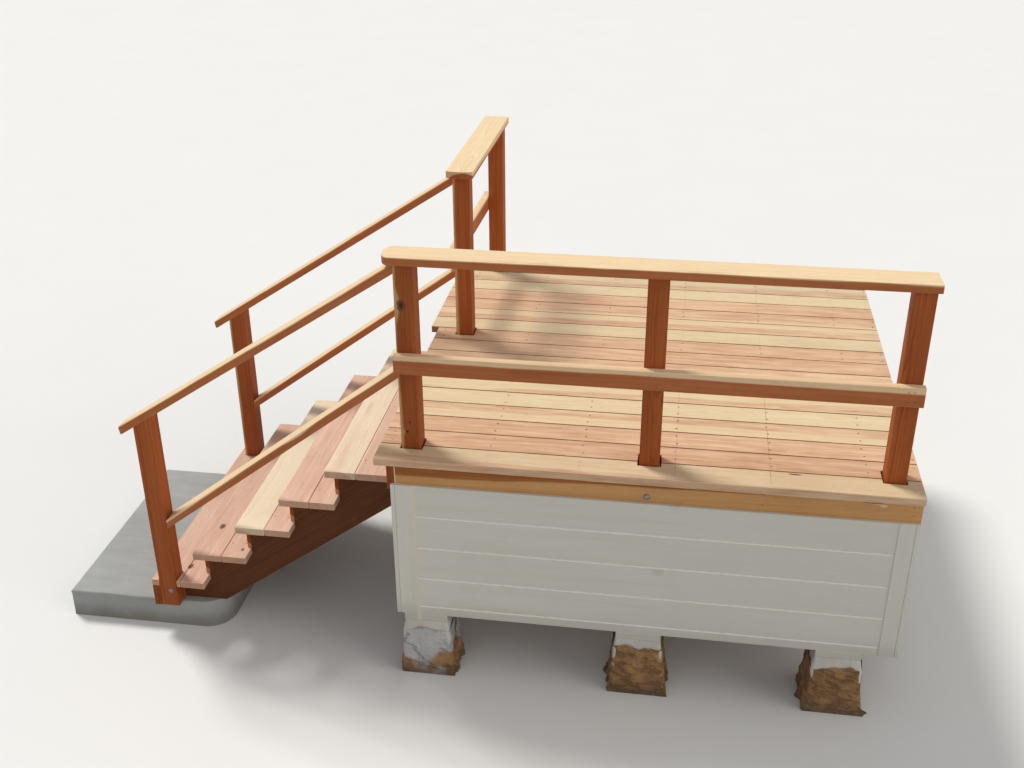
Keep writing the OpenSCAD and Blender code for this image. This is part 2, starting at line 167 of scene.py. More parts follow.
class Piece:
    """One piece of the scene, built up from timbers or castings."""

    def __init__(self, name):
        self.name = name
        self.verts, self.faces, self.smooth = [], [], []
        self.grain, self.cut, self.worn = [], [], []
        self.numbers = {"tone": [], "sap": [], "seed": [], "hue": []}

    def add(self, bm, axes=AXES["x"], pith=(0.3, 0.3), sap=9.0, tone=0.5, hue=0.5, seed=0.0,
            drift=(0.0, 0.0), smooth=False):
        """Takes over a mesh. pith is the log's centre from the middle of the
        timber, sap the radius where sapwood starts, drift the change of the
        centre per metre of length, all in metres."""
        bmesh.ops.recalc_face_normals(bm, faces=bm.faces)
        bm.verts.index_update()
        base, mid = len(self.verts), centre(bm)
        u, v, w = axes
        for p in bm.verts:
            d = p.co - mid
            a = d.dot(u)
            self.verts.append(p.co.copy())
            self.grain += (a + seed * 3.0, d.dot(v) - pith[0] - drift[0] * a,
                d.dot(w) - pith[1] - drift[1] * a)
            for key, value in zip(self.numbers, (tone, sap, seed, hue)):
                self.numbers[key].append(value)
        for f in bm.faces:
            self.faces.append([base + q.index for q in f.verts])
            square = max(abs(f.normal.dot(axis)) for axis in axes)
            self.cut.append(1.0 if abs(f.normal.dot(u)) > 0.8 else 0.0)
            self.worn.append(1.0 if square < 0.985 and not smooth else 0.0)
            self.smooth.append(smooth)
        bm.free()

    def build(self, material, replaces=None):
        me = bpy.data.meshes.new(self.name)
        me.from_pydata([tuple(p) for p in self.verts], [], self.faces)
        me.update()
        me.attributes.new("grain", "FLOAT_VECTOR", "POINT").data.foreach_set("vector", self.grain)
        faces = {"cut": self.cut, "worn": self.worn}
        for domain, numbers in (("POINT", self.numbers), ("FACE", faces)):
            for key, values in numbers.items():
                me.attributes.new(key, "FLOAT", domain).data.foreach_set("value", values)
        me.polygons.foreach_set("use_smooth", self.smooth)
        me.materials.append(material)
        if any(self.smooth):
            me.set_sharp_from_angle(angle=radians(50))
        ob = add_object(self.name, me)
        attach(ob, "root")
        if replaces:
            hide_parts(replaces)


def timber(piece, outline, plane, low, high, axis, r=2.0, step=0.25, uneven=0.3, axes=None,
        pick=None, limit=0.5, **look):
    """A sawn timber with eased edges."""
    bm = bmesh.new()
    prism(bm, outline, plane, low, high)
    axes = axes or AXES[axis]
    if r:
        ease(bm, r, 3 if r > 3 else 2, pick, limit)
    if step:
        slice_along(bm, axes[0], step)
    look = {"seed": round(rng.uniform(0, 9), 3), "tone": rng.uniform(0.3, 0.7),
        "hue": rng.uniform(0.2, 0.8), **look}
    if uneven:
        shrink(bm, axes[0], uneven, look["seed"])
    piece.add(bm, axes, **look)


def block(piece, x0, x1, y0, y1, z0, z1, axis, **kw):
    timber(piece, rect(x0, x1, y0, y1), (0, 1), z0, z1, axis, **kw)


def cast(name, bm, material, node=None, smooth=True):
    """A piece that is one mesh, with no grain of its own."""
    p = Piece(name)
    p.add(bm, smooth=smooth)
    p.build(material, node)


def single(node, how, material, slot, axis, outline=None, **kw):
    """One timber for a whole CAD node: its box, or an outline in plan."""
    x0, x1, y0, y1, z0, z1 = extent(node)
    p = Piece(f"{node}_{how}")
    timber(p, outline or rect(x0, x1, y0, y1), (0, 1), z0, z1, axis, **kw)
    p.build(material, node)


def operator(name):
    """A method that adds a math node to the material."""
    return lambda *values: values[0].net.calc(name, *values)


class Val:
    """A number, vector or colour inside a material, so that the sums of a
    material can be written as sums."""

    def __init__(self, net, socket, kind):
        self.net, self.socket, self.kind = net, socket, kind

    __add__ = __radd__ = operator("ADD")
    __mul__ = __rmul__ = operator("MULTIPLY")
    __sub__ = operator("SUBTRACT")
    __truediv__ = operator("DIVIDE")
    length = operator("LENGTH")


class Net:
    """Builds one node material around a Principled shader."""

    def __init__(self, name):
        self.mat = bpy.data.materials.new(name)
        self.mat.use_nodes = True
        self.tree = self.mat.node_tree
        self.tree.nodes.clear()
        out = self.node("OutputMaterial")
        self.shader = self.node("BsdfPrincipled")
        self.tree.links.new(self.shader.outputs[0], out.inputs["Surface"])

    def node(self, kind, inputs=None, **settings):
        n = self.tree.nodes.new("ShaderNode" + kind)
        for key, value in settings.items():
            setattr(n, key, value)
        for key, value in (inputs or {}).items():
            self.put(n.inputs[key], value)
        return n

    def put(self, socket, value):
        """Feeds a socket from another node, or sets its value."""
        if isinstance(value, Val):
            self.tree.links.new(value.socket, socket)
        elif hasattr(socket.default_value, "__len__"):
            n = len(socket.default_value)
            value = list(value) if hasattr(value, "__len__") else [value] * n
            socket.default_value = value + [1.0] * (n - len(value))
        else:
            socket.default_value = value

    def calc(self, op, *args, clamp=False):
        """A math node, of the vector kind if any argument is a vector."""
        inputs = dict(enumerate(args))
        vector = any(isinstance(a, Val) and a.kind == "v" for a in args)
        if vector:
            n = self.node("VectorMath", inputs, operation=op)
        else:
            n = self.node("Math", inputs, operation=op, use_clamp=clamp)
        number = not vector or op == "LENGTH"
        return Val(self, n.outputs["Value" if number else "Vector"], "n" if number else "v")

    def clip(self, a):
        return self.calc("ADD", a, 0.0, clamp=True)

    def larger(self, a, b):
        """The larger of two numbers, the first of which may be missing."""
        return b if a is None else self.calc("MAXIMUM", a, b)

    def attr(self, name, kind="n"):
        n = self.node("Attribute", attribute_name=name)
        return Val(self, n.outputs["Vector" if kind == "v" else "Fac"], kind)

    def place(self):
        return Val(self, self.node("TexCoord").outputs["Object"], "v")

    def facing(self):
        return self.parts(Val(self, self.node("NewGeometry").outputs["Normal"], "v"))

    def parts(self, v):
        n = self.node("SeparateXYZ", {0: v})
        return [Val(self, s, "n") for s in n.outputs]

    def join(self, *parts):
        n = self.node("CombineXYZ", dict(enumerate(parts)))
        return Val(self, n.outputs[0], "v")

    def noise(self, v, detail=3.0, rough=0.5, kind="n"):
        inputs = {"Vector": v, "Scale": 1.0, "Detail": detail, "Roughness": rough}
        n = self.node("TexNoise", inputs)
        return Val(self, n.outputs["Color" if kind == "v" else "Fac"], kind)

    def cells(self, v):
        """Distance to scattered points and a random number for each."""
        n = self.node("TexVoronoi", {"Vector": v, "Scale": 1.0})
        return (Val(self, n.outputs["Distance"], "n"),
            self.parts(Val(self, n.outputs["Color"], "v"))[0])

    def smooth(self, v, lo, hi, a=0.0, b=1.0):
        inputs = {"Value": v, "From Min": lo, "From Max": hi, "To Min": a, "To Max": b}
        n = self.node("MapRange", inputs, interpolation_type="SMOOTHSTEP")
        return Val(self, n.outputs["Result"], "n")

    def mix(self, fac, a, b, blend="MIX"):
        n = self.node("Mix", {"Factor": fac, 6: a, 7: b}, data_type="RGBA", blend_type=blend)
        return Val(self, n.outputs[2], "c")

    def shade(self, colour, amount):
        """colour times amount, a number or a colour."""
        if isinstance(amount, Val) and amount.kind == "n":
            amount = self.join(amount, amount, amount)
        return self.mix(1.0, colour, amount, "MULTIPLY")

    def finish(self, colour, rough, height=None, relief=0.0005, spec=0.4, metal=0.0):
        values = {"Base Color": colour, "Roughness": rough, "Specular IOR Level": spec,
            "Metallic": metal}
        if height is not None:
            bump = self.node("Bump", {"Strength": 0.8, "Distance": relief, "Height": height})
            values["Normal"] = Val(self, bump.outputs[0], "v")
        for key, value in values.items():
            self.put(self.shader.inputs[key], value)
        return self.mat


HALF = (0.5, 0.5, 0.5)


def wood(name, heart, dark, sapwood, sapdark, ring=0.0045, rings=0.45, streaks=0.5,
        rough=(0.45, 0.68), relief=0.0004, knots=(), wild=0.05, chalk=(), marks=(), along=None,
        saw=0.0, ends=0.7, top_highlight=0.0, dust=0.25, joints=False, spec=0.3, blotch=0.0):
    """Solid wood figured by growth rings about each timber's own centre."""
    n = Net(name)
    place = n.place()
    if along is None:
        grain = n.attr("grain", "v")
        tone, sap, seed, hue, cut, worn = map(n.attr, "tone sap seed hue cut worn".split())
    else:
        # A timber kept from the frame: the grain runs along a fixed axis and
        # every loose solid has its own centre and tone.
        island = n.node("NewGeometry").outputs["Random Per Island"]
        chance = Val(n, island, "n")
        p = n.parts(place)
        order = {"x": (0, 1, 2), "y": (1, 0, 2), "z": (2, 0, 1)}[along]
        a, b, c = (p[k] for k in order)
        b = n.calc("PINGPONG", b + chance * 2.7, 0.13)
        c = n.calc("PINGPONG", c + chance * 1.9, 0.11) + 0.03
        grain = n.join(a, b, c)
        tone = n.calc("FRACT", chance * 7.31)
        hue = n.calc("FRACT", chance * 3.77)
        seed, sap, cut, worn = chance * 9.0, 0.155, None, None
    length = n.parts(grain)[0]
    shift = n.join(seed, seed * 1.7, seed * 0.6)
    broad = n.noise(grain * (1.1, 3.5, 3.5) + shift, 2, kind="v")
    small = n.noise(grain * (5, 18, 18) + shift, 2, kind="v")
    bent = grain + (broad - HALF) * (0, 0.026, 0.026) + (small - HALF) * (0, 0.005, 0.005)
    radius = (bent * (0, 1, 1)).length()
    knot, core = None, None
    for x, y, z, r, axis in knots:
        squeeze = {"x": (0.55, 1, 1), "y": (1, 0.55, 1), "z": (1, 1, 0.7)}[axis]
        d = ((place - tuple(at(x, y, z))) * squeeze).length() / (r / 1000)
        d = d + (n.noise(place * 90.0, 2) - 0.5) * 0.5
        radius = radius + n.smooth(d, 3.2, 0.8) * (r / 1000 * 0.45)
        knot = n.larger(knot, n.smooth(d, 1.0, 0.75))
        core = n.larger(core, n.smooth(d, 0.65, 0.25))
    if wild:
        # Small knots scattered thinly over every timber.
        d, pick = n.cells(grain * (2, 9, 2) + shift)
        keep = n.calc("LESS_THAN", pick, wild)
        radius = radius + n.smooth(d, 0.3, 0.05) * keep * 0.012
        knot = n.larger(knot, n.smooth(d, 0.075, 0.045) * keep)
        core = n.larger(core, n.smooth(d, 0.04, 0.01) * keep)
    wander = n.noise(n.join(radius * 55.0, seed, length * 0.15), 2)
    turn = n.calc("FRACT", radius / ring + wander * 2.2)
    vary = n.noise(n.join(radius * 30.0, seed + 4.0, length * 0.4), 2)
    late = n.clip(n.calc("POWER", turn, 2.6) * n.smooth(turn, 1.0, 0.9) * vary * 1.9)
    streak = n.noise(grain * (1.4, 85, 85) + shift, 4, 0.6)
    fibre = n.noise(grain * (18, 620, 620) + shift, 3, 0.6)
    cloud = n.noise(grain * (1.6, 9, 9) + shift, 3, 0.55)
    figure = n.clip(late * rings + (streak - 0.45) * (streaks * 2) + (cloud - 0.5) * 0.9 + 0.28)
    lines = late * 0.55 + (streak - 0.4) * 0.9
    if blotch:
        # Flame figure and uneven drying, a hand's breadth long.
        flame = n.noise(grain * (5, 34, 34) + shift, 3, 0.55)
        figure = n.clip(figure + (flame - 0.5) * blotch * 1.6)
        lines = lines + (flame - 0.46) * blotch
    edge = radius + (cloud - 0.5) * 0.012 + (streak - 0.5) * 0.006 - sap
    pale_wood = n.mix(n.clip(lines), sapwood, sapdark)
    col = n.mix(n.smooth(edge, -0.004, 0.004), n.mix(figure, heart, dark), pale_wood)
    col = n.shade(col, tone * 0.44 + 0.78)
    col = n.shade(col, n.mix(hue, (1.06, 0.94, 0.90), (0.95, 1.04, 1.02)))
    col = n.shade(col, n.smooth(fibre, 0.25, 0.75, 0.90, 1.08))
    if knot is not None:
        turns = n.smooth(n.calc("SINE", radius * 1400.0), -1, 1)
        heartwood = n.mix(core, n.mix(turns, (0.22, 0.085, 0.035), (0.12, 0.04, 0.018)),
            (0.035, 0.016, 0.01))
        col = n.mix(knot * 0.88, col, heartwood)
    px, py = n.parts(place)[:2]
    for x, width, y0, y1, amount in chalk:
        wobble = (n.noise(place * 9.0, 2) - 0.5) * 0.0015
        d = n.calc("ABSOLUTE", px - at(x, 0, 0).x + wobble)
        line = n.smooth(d, width / 1000, width / 2600)
        broken = n.smooth(n.noise(place * (4, 26, 4)), 0.36, 0.56)
        span = (n.smooth(py, at(0, y0, 0).y, at(0, y0 + 20, 0).y)
            * n.smooth(py, at(0, y1, 0).y, at(0, y1 - 20, 0).y))
        col = n.mix(line * broken * span * amount, col, (0.42, 0.065, 0.055))
    for spot, size, tint, amount in marks:
        d = ((place - tuple(at(*spot))) / tuple(s / 1000 for s in size)).length()
        d = d + (n.noise(place * 60.0) - 0.5) * 0.6
        col = n.mix(n.smooth(d, 1.25, 0.75) * amount, col, tint)
    if cut is not None:
        # End grain drinks more finish, and eased edges are a little paler.
        col = n.mix(cut * ends, col, n.shade(col, (0.66, 0.55, 0.47)))
        col = n.mix(worn * 0.35, col, n.shade(col, (1.25, 1.22, 1.18)))
    # Painted highlight: faces that turn up are made lighter, as if lit from above.
    if top_highlight:
        lit = n.smooth(n.facing()[2], 0.4, 0.9) * top_highlight
        col = n.mix(lit, col, n.shade(col, (1.16, 1.22, 1.28)))
    if joints:
        # Dirt and damp in the joints between boards laid side by side, with painted shade: the side
        # faces down in the gaps are darkened.
        sideways = n.smooth(n.calc("ABSOLUTE", n.facing()[1]), 0.25, 0.6)
        inside = n.smooth(py, at(0, 20, 0).y, at(0, 30, 0).y)
        col = n.mix(sideways * inside * 0.85, col, n.shade(col, (0.30, 0.17, 0.11)))
    soft = n.noise(place * 2.3, 5, 0.6)
    col = n.mix(n.smooth(soft, 0.52, 0.72) * dust, col, n.shade(col, (0.80, 0.77, 0.74)))
    gloss = n.smooth(streak * 0.6 + soft * 0.4, 0.3, 0.7, *rough)
    height = late * 0.55 + fibre * 0.45
    if saw:
        across = n.parts(grain)[1]
        teeth = n.calc("SINE", (length + across * 0.35) * 1700.0)
        height = height + teeth * saw
    if knot is not None:
        height = height - core * 1.2
    return n.finish(col, gloss, height, relief, spec)


redwood = wood("redwood", (0.44, 0.125, 0.032), (0.245, 0.052, 0.011), (0.60, 0.39, 0.19),
    (0.46, 0.26, 0.11), ring=0.0042, rings=0.5, streaks=0.6, rough=(0.5, 0.7), spec=0.2,
    knots=[(134.9, 112, TOP + 691, 22, "z"), (135, 112, TOP + 83, 8, "z"),
           (148, 112, TOP + 130, 6, "z")])
rail_wood = wood("rail_wood", (0.51, 0.175, 0.060), (0.34, 0.098, 0.030), (0.82, 0.63, 0.40),
    (0.72, 0.48, 0.27), ring=0.005, streaks=0.7, top_highlight=0.6, blotch=0.4)
deck_wood = wood("deck_wood", (0.80, 0.585, 0.39), (0.58, 0.335, 0.20), (0.81, 0.65, 0.43),
    (0.70, 0.49, 0.29), ring=0.0062, streaks=0.6, wild=0.06, dust=0.35, joints=True, blotch=1.1,
    chalk=[(907, 1.5, 30, 170, 0.6), (1323, 1.5, 20, 900, 0.5), (1729, 1.5, 20, 900, 0.75),
           (1323, 1.2, 900, 2400, 0.2), (1729, 1.2, 900, 2400, 0.4)])
tread_wood = wood("tread_wood", (0.79, 0.575, 0.445), (0.58, 0.36, 0.265), (0.84, 0.71, 0.54),
    (0.77, 0.61, 0.44), ring=0.0066, rings=0.35, streaks=0.4, wild=0.03, dust=0.3, top_highlight=0.3,
    blotch=0.6,
    knots=[(-930.4, 395.9, TREAD_TOPS[1], 15, "y"), (-1075.8, 277.0, TREAD_TOPS[0], 14, "y"),
           (-758, 215, TREAD_TOPS[1], 8, "y"), (-533.6, 968.6, TREAD_TOPS[3], 15, "y")])
stain = wood("stringer_stain", (0.155, 0.052, 0.018), (0.085, 0.026, 0.009), (0.18, 0.066, 0.025),
    (0.12, 0.041, 0.015), ring=0.0058, rings=0.35, streaks=0.7, rough=(0.6, 0.8), wild=0.03,
    dust=0.5, ends=0.3, spec=0.2)
fascia = wood("fascia_wood", (0.42, 0.160, 0.044), (0.28, 0.088, 0.020), (0.66, 0.37, 0.155),
    (0.48, 0.235, 0.085), ring=0.0052, rings=0.5, streaks=0.7, wild=0.04, spec=0.2, blotch=0.7,
    # A gouge along the top of the rim: a dark streak painted as the shade in its hollow, and pale
    # spots of bared wood.
    marks=[((2160, RIM_FACE, TOP - 57.5), (46, 9, 4), (0.11, 0.04, 0.02), 0.9),
           ((2203, RIM_FACE, TOP - 71), (15, 9, 6), (0.80, 0.66, 0.46), 0.85),
           ((2176, RIM_FACE, TOP - 66), (20, 9, 3), (0.72, 0.55, 0.36), 0.6)])
framing = {axis: wood(f"framing_{axis}", (0.56, 0.35, 0.19), (0.36, 0.20, 0.10),
    (0.70, 0.52, 0.33), (0.56, 0.38, 0.22), along=axis, rough=(0.6, 0.82), saw=0.5,
    relief=0.0006) for axis in "xyz"}


def painted():
    """White primer over smooth boards: brush lines, thin spots and soil."""
    n = Net("skirt_primer")
    place, grain = n.place(), n.attr("grain", "v")
    tone, seed, hue, worn = map(n.attr, "tone seed hue worn".split())
    shift = n.join(seed, seed * 1.7, seed)
    brush = n.noise(grain * (2.2, 240, 240) + shift, 4, 0.6)
    broad = n.noise(grain * (1.1, 7, 7) + shift, 4, 0.55)
    thin = n.noise(grain * (0.9, 14, 14) + shift, 3, 0.6)
    col = n.mix(broad, (0.76, 0.735, 0.67), (0.66, 0.64, 0.58))
    col = n.mix(n.smooth(thin, 0.54, 0.74) * 0.22, col, (0.66, 0.54, 0.43))
    col = n.shade(col, tone * 0.10 + 0.93)
    col = n.shade(col, n.smooth(brush, 0.3, 0.7, 0.965, 1.02))
    # Knots that show through the primer.
    d, pick = n.cells(grain * (1.7, 6, 2) + shift)
    knots = n.smooth(d, 0.07, 0.01) * n.calc("LESS_THAN", pick, 0.3)
    col = n.mix(knots * 0.35, col, (0.42, 0.38, 0.31))
    px, _, pz = n.parts(place)
    low = n.smooth(pz + n.noise(place * 11.0, 4) * 0.10, 0.50, 0.38)
    col = n.mix(low * 0.28, col, (0.36, 0.30, 0.23))
    damp = n.noise(place * (2.5, 2.5, 1.2), 5, 0.62)
    col = n.mix(n.smooth(damp, 0.56, 0.74) * 0.14, col, (0.50, 0.45, 0.37))
    # A yellowed strip beside the left corner board.
    side = px + (n.noise(place * 14.0) - 0.5) * 0.006
    x0, x1 = (at(x, 0, 0).x for x in (163, 182))
    bare = n.smooth(side, x0 - 0.002, x0 + 0.002) * n.smooth(side, x1 + 0.003, x1 - 0.003)
    col = n.mix(bare * 0.6, col, (0.76, 0.68, 0.51))
    # Painted highlight: the bevelled faces that the worn mark picks out, where they turn up (the
    # boards' chamfers), are made nearly white as if catching the light.
    col = n.mix(worn * n.smooth(n.facing()[2], 0.3, 0.6), col, (0.97, 0.95, 0.89))
    # Grime and painted shade in the slits, whose tongues carry the highest hue.
    col = n.mix(n.smooth(hue, 0.85, 0.95), col, (0.24, 0.22, 0.19))
    gloss = n.smooth(brush * 0.5 + broad * 0.5, 0.3, 0.7, 0.5, 0.72)
    return n.finish(col, gloss, brush * 0.7 + thin * 0.3, 0.0004)


def concrete(name, light, dark, tan, grit, splash):
    """Cast concrete with trowel marks, pits and soil up the sides."""
    n = Net(name)
    place = n.place()
    big, mid = n.noise(place * 2.2, 5, 0.6), n.noise(place * 11.0, 5, 0.65)
    sand = n.noise(place * 420.0, 3, 0.6)
    trowel = n.noise(place * (5, 22, 5))
    d, pick = n.cells(place * 95.0)
    pits = n.smooth(d, 0.22, 0.08) * n.calc("LESS_THAN", pick, 0.16)
    col = n.mix(n.smooth(big, 0.3, 0.7), light, dark)
    col = n.mix(n.smooth(mid, 0.5, 0.75) * 0.4, col, tan)
    col = n.shade(col, n.smooth(sand, 0.3, 0.7, 0.90, 1.08))
    col = n.shade(col, n.smooth(trowel, 0.35, 0.65, 0.96, 1.03))
    # The pits are painted dark: painted shade in them.
    col = n.mix(pits * 0.55, col, (0.16, 0.15, 0.13))
    height = n.parts(place)[2] + n.noise(place * 13.0, 5) * 0.09
    soil = n.smooth(height, 0.05 + splash, 0.02 + splash * 0.35)
    wall = n.smooth(n.facing()[2], 0.8, 0.3)
    col = n.mix(soil * wall * 0.6, col, (0.22, 0.18, 0.135))
    gloss = n.smooth(mid, 0.3, 0.7, 0.72, 0.92)
    return n.finish(col, gloss, sand * 0.35 * grit + mid * 0.8 - pits * 0.9, 0.0012)


pad_concrete = concrete("pad_concrete", (0.425, 0.435, 0.425), (0.36, 0.37, 0.36),
    (0.41, 0.395, 0.35), 1.0, 0.10)
pier_concrete = concrete("pier_concrete", (0.66, 0.64, 0.60), (0.54, 0.51, 0.46),
    (0.50, 0.44, 0.36), 1.6, 0.12)


def steel(name, base, rough, rust):
    n = Net(name)
    place = n.place()
    fine, big = n.noise(place * 160.0, 4, 0.6), n.noise(place * 30.0)
    col = n.mix(n.smooth(fine, 0.35, 0.7), base, tuple(c * 0.62 for c in base))
    col = n.mix(n.smooth(big, 0.5, 0.7) * rust, col, (0.20, 0.075, 0.03))
    return n.finish(col, n.smooth(fine, 0.3, 0.7, rough, rough + 0.2), fine, 0.0002, 0.5, metal=0.9)


zinc = steel("zinc_bolts", (0.40, 0.40, 0.38), 0.26, 0.1)
nail_steel = steel("nail_heads", (0.11, 0.085, 0.07), 0.5, 0.3)


def kraft(name, liner):
    """Damp brown paper from the pier forms; liner shows its pale side."""
    n = Net(name)
    place = n.place()
    fibre = n.noise(place * (60, 60, 220), 4, 0.65)
    blot = n.noise(place * 9.0, 5, 0.62)
    torn = n.noise(place * (5, 5, 4), 2, 0.5)
    height = n.parts(place)[2]
    crush = n.noise(place * (7, 7, 12) + n.join(height * 5, 0, 0), 4, 0.6)
    creases = n.smooth(n.calc("ABSOLUTE", crush - 0.5), 0.0, 0.07)
    col = n.mix(n.smooth(blot, 0.36, 0.62), (0.42, 0.235, 0.105), (0.26, 0.145, 0.068))
    show = n.smooth(torn + (height + 0.12) * liner, 0.66, 0.76) * 0.8
    col = n.mix(show, col, n.mix(blot, (0.62, 0.65, 0.68), (0.48, 0.50, 0.53)))
    col = n.shade(col, n.smooth(fibre, 0.3, 0.7, 0.88, 1.1))
    low = n.smooth(height + blot * 0.10, 0.14, 0.05)
    col = n.mix(low * 0.75, col, (0.15, 0.105, 0.07))
    # Painted shade in the creases of the paper.
    col = n.shade(col, creases * 0.30 + 0.76)
    gloss = n.smooth(blot, 0.3, 0.7, 0.8, 0.95) - show * 0.4
    return n.finish(col, gloss, fibre * 0.1 + blot * 0.4 + creases, 0.006, 0.25)


def sealant():
    n = Net("caulk")
    lumps = n.noise(n.place() * 55.0, 4, 0.6)
    col = n.mix(lumps, (0.80, 0.74, 0.58), (0.66, 0.58, 0.42))
    return n.finish(col, n.smooth(lumps, 0.3, 0.7, 0.45, 0.65), lumps, 0.001)


primer, caulk = painted(), sealant()
form_paper, form_liner = kraft("form_paper", 0.1), kraft("form_liner", 1.0)


def notched_row(x0, x1, y0, y1):
    """Outline of one deck board, cut back round the posts it meets."""
    play = 6.0
    wide = POST + play
    holes = [(x - play, x + wide, POST_FRONT - play, POST_FRONT + wide) for x in FRONT_POSTS]
    holes.append((HEAD_X - play, HEAD_X + wide, HEAD_Y - play, HEAD_Y + wide))
    holes.append((WALL_X - play, WALL_X + wide, DEPTH - BOARD - 1, WALL_Y + wide))
    low, high = [], []
    for a, b, c, d in sorted(holes):
        if c <= y0 < d < y1:
            low += [(a, y0), (a, d), (b, d), (b, y0)]
        elif y0 < c < y1 <= d:
            high += [(a, y1), (a, c), (b, c), (b, y1)]
    return [(x0, y0), *low, (x1, y0), (x1, y1), *high[::-1], (x0, y1)]


# Each row of deck boards, from the front: tone, hue, the log's centre across
# and up from the board's middle, and the radius where the sapwood starts.
ROWS = [(0.26, 0.38, -0.085, -0.020, 0.052), (0.36, 0.12, 0.030, -0.110, 0.300),
        (0.52, 0.28, -0.040, -0.090, 0.300), (0.54, 0.45, 0.060, -0.055, 0.098),
        (0.56, 0.62, 0.020, -0.060, 0.060), (0.54, 0.55, -0.050, -0.100, 0.124),
        (0.56, 0.55, 0.055, -0.060, 0.088), (0.62, 0.38, -0.050, -0.100, 0.165),
        (0.52, 0.28, 0.040, -0.080, 0.300), (0.44, 0.22, -0.060, -0.070, 0.172),
        (0.44, 0.60, 0.030, -0.060, 0.066), (0.48, 0.38, -0.062, -0.050, 0.094),
        (0.45, 0.28, 0.050, -0.070, 0.132), (0.52, 0.30, -0.030, -0.100, 0.150),
        (0.52, 0.60, 0.050, -0.080, 0.080), (0.38, 0.60, -0.045, -0.070, 0.100),
        (0.50, 0.38, 0.040, -0.090, 0.170)]
DECK_NODES = {"deck_front_board": (1, 1), "deck_second_board": (2, 2),
              "deck_boards_stair_side": (3, 10), "deck_boards_wall_side": (11, 17)}
for name, (first, last) in DECK_NODES.items():
    p = Piece(name + "_planed")
    x0, x1 = extent(name)[:2]
    for k in range(first, last + 1):
        tone, hue, across, up, sap = ROWS[k - 1]
        y0 = (k - 1) * PITCH
        outline = notched_row(x0 + rng.uniform(0, 1.6), x1, y0 + 0.3, y0 + BOARD - 0.3)
        timber(p, outline, (0, 1), UNDER, TOP - rng.uniform(0, 0.7), "x", r=4, step=0.2, uneven=0.5,
            pith=(across, up), sap=sap, tone=tone, hue=hue, seed=k * 0.53,
            drift=(jitter(0.01) if k > 1 else -0.03, 0.004))
    p.build(deck_wood, name)

# Each post: the log's centre, where its sapwood starts, and its tone.
POST_WOOD = {"front_post_left": ((0.055, 0.060), 0.1365, 0.36),
             "front_post_middle": ((0.020, 0.100), 0.30, 0.50),
             "front_post_right": ((-0.045, 0.060), 0.30, 0.60),
             "stair_head_post": ((0.060, 0.050), 0.133, 0.48),
             "wall_post": ((-0.030, 0.110), 0.30, 0.62)}
for name, (pith, sap, tone) in POST_WOOD.items():
    single(name, "sawn", redwood, "redwood", "z", r=4, step=0.3, uneven=0.5, pith=pith, sap=sap,
        tone=tone, hue=0.4)

# Dark packers beside the front posts, under the notches in the boards: painted shade, so the slits
# at the notches read dark.
p = Piece("notch_shade_blocks")
for a in [x - 30 for x in FRONT_POSTS[1:]] + [x + POST + 1 for x in FRONT_POSTS]:
    block(p, a, a + 29, POST_FRONT + 1, POST_FRONT + 2 * POST, RIM_UNDER + 2, UNDER - 1, "y",
        pith=(0.1, 0.1), tone=0.2)
p.build(stain)

# The rails: the caps are bowed at one end, the side ones follow the wall post.
# Each rail's log centre sits below it, so its top comes out pale sapwood over
# heartwood sides: partly the wood's own grain, partly painted light on the top.
CAP_HALF, FRONT_BOW, SIDE_BOW = 70.0, 38.0, 17.0
x0, x1, y0, y1 = extent("front_cap_rail")[:4]
bowed = [(x0 + FRONT_BOW * (1 - cos(a)), (y0 + y1) / 2 + CAP_HALF * sin(a))
    for a in arc(90, -90, 28)]
bowed += [(x1, y0), (x1, y1)]
single("front_cap_rail", "planed", rail_wood, "rails", "x", bowed, r=3.5, step=0.2, limit=0.9,
    pith=(-0.060, -0.090), sap=0.1075, drift=(0, -0.003), tone=0.56, hue=0.5, seed=1.9)

x0, x1, y0, y1 = extent("side_cap_rail")[:4]
skew = (WALL_X - HEAD_X) / 2
x1 -= skew
bowed = [((x0 + x1) / 2 - CAP_HALF * cos(a), y0 + SIDE_BOW * (1 - sin(a)))
    for a in arc(0, 180, 24)]
bowed += [(x1 + skew, y1), (x0 + skew, y1)]
single("side_cap_rail", "planed", rail_wood, "rails", "y", bowed, r=3.5, step=0.2, limit=0.9,
    uneven=0, pith=(0.015, -0.090), sap=0.102, tone=0.62, hue=0.55, seed=3.3)

single("front_mid_rail", "planed", rail_wood, "rails", "x", r=3.5, step=0.2, uneven=0.5,
    pith=(0.020, -0.090), sap=0.1145, drift=(0.0, -0.003), tone=0.48, hue=0.35, seed=2.7)

y0, bend = extent("side_mid_rail")[2], HEAD_Y + POST
cranked = [(HEAD_X - PLANK, y0), (HEAD_X, y0), (HEAD_X, bend), (WALL_X, WALL_Y),
    (WALL_X, WALL_Y + POST), (WALL_X - PLANK, WALL_Y + POST), (WALL_X - PLANK, WALL_Y),
    (HEAD_X - PLANK, bend)]
single("side_mid_rail", "planed", rail_wood, "rails", "y", cranked, r=3, pith=(0.020, -0.090),
    sap=0.122, tone=0.55, hue=0.4, seed=4.1)


